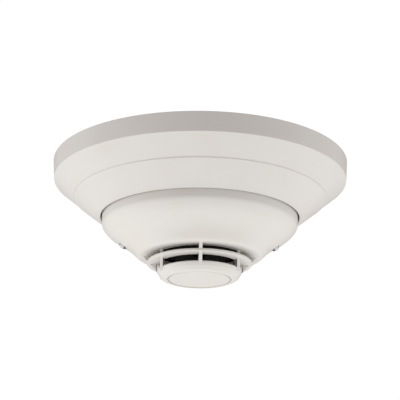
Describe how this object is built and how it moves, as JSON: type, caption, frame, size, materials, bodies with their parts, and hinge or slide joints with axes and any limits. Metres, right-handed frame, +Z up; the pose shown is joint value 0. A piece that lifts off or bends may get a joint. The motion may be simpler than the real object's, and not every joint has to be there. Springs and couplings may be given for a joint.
{
  "type": "heat detector",
  "caption": "Ceiling heat detector: flanged conical base with a plug-in domed head, vented nose cage with a flat cap, side light pipes, and a bayonet mount with screw terminals.",
  "frame": {"origin": "centre of the flat back of the base, on the ceiling plane", "axes": "+Z up out of the back towards the ceiling, the head hangs along -Z; -Y is the side the middle rib of the nose faces, +X to its right"},
  "size_m": [0.155, 0.155, 0.0622],
  "materials": {
    "base_plastic": "off-white flame-retardant moulding, satin",
    "cover_plastic": "off-white moulding, satin",
    "chassis_plastic": "off-white moulding, fine texture",
    "black_plastic": "black moulding, matte",
    "contact_metal": "plated spring brass, rolled",
    "screw_steel": "zinc-plated steel",
    "board_laminate": "green solder mask over glass laminate",
    "capacitor_can": "drawn aluminium can",
    "component_black": "moulded epoxy package",
    "clear_plastic": "clear moulded acrylic, polished",
    "diffuser_plastic": "milky moulded acrylic light pipe"
  },
  "bodies": {
    "base": {"base_body": "base_plastic", "base_contact_1": "contact_metal", "base_contact_2": "contact_metal", "base_contact_3": "contact_metal", "base_contact_4": "contact_metal", "terminal_clamp_1": "screw_steel", "terminal_clamp_2": "screw_steel", "terminal_clamp_3": "screw_steel", "terminal_clamp_4": "screw_steel", "terminal_screw_1": "screw_steel", "terminal_screw_2": "screw_steel", "terminal_screw_3": "screw_steel", "terminal_screw_4": "screw_steel"},
    "head": {"address_switch_ones": "component_black", "address_switch_tens": "component_black", "board_screw_1": "screw_steel", "board_screw_2": "screw_steel", "board_screw_3": "screw_steel", "circuit_board": "board_laminate", "filter_capacitor": "capacitor_can", "head_chassis": "chassis_plastic", "head_contact_1": "contact_metal", "head_contact_2": "contact_metal", "head_contact_3": "contact_metal", "head_contact_4": "contact_metal", "led_left": "clear_plastic", "led_right": "clear_plastic", "microcontroller": "component_black", "reed_switch": "clear_plastic", "sensor_guard": "black_plastic", "surge_suppressor": "component_black", "thermistor": "black_plastic", "thermistor_holder": "black_plastic"},
    "cover": {"head_cover": "cover_plastic", "light_pipe_left": "diffuser_plastic", "light_pipe_right": "diffuser_plastic"},
    "dial_tens": {"address_dial_tens": "chassis_plastic"},
    "dial_ones": {"address_dial_ones": "chassis_plastic"},
    "lever": {"tamper_lever": "base_plastic"}
  },
  "joints": [
    {"name": "head_twist", "type": "hinge", "parent": "base", "child": "head", "pos_m": [0, 0, -0.012], "axis": [0, 0, 1], "range_deg": [-22, 0]},
    {"name": "cover_release", "type": "slide", "parent": "head", "child": "cover", "axis": [0, 0, -1], "range_m": [0, 0.06]},
    {"name": "dial_tens_turn", "type": "hinge", "parent": "head", "child": "dial_tens", "pos_m": [-0.011, 0, -0.0163], "axis": [0, 0, 1], "continuous": true},
    {"name": "dial_ones_turn", "type": "hinge", "parent": "head", "child": "dial_ones", "pos_m": [0.011, 0, -0.0163], "axis": [0, 0, 1], "continuous": true},
    {"name": "tamper_lever_flex", "type": "hinge", "parent": "base", "child": "lever", "pos_m": [0.011, 0.0472, -0.0064], "axis": [0, 1, 0], "range_deg": [0, 5], "stiffness_Nm_per_rad": 0.1}
  ]
}
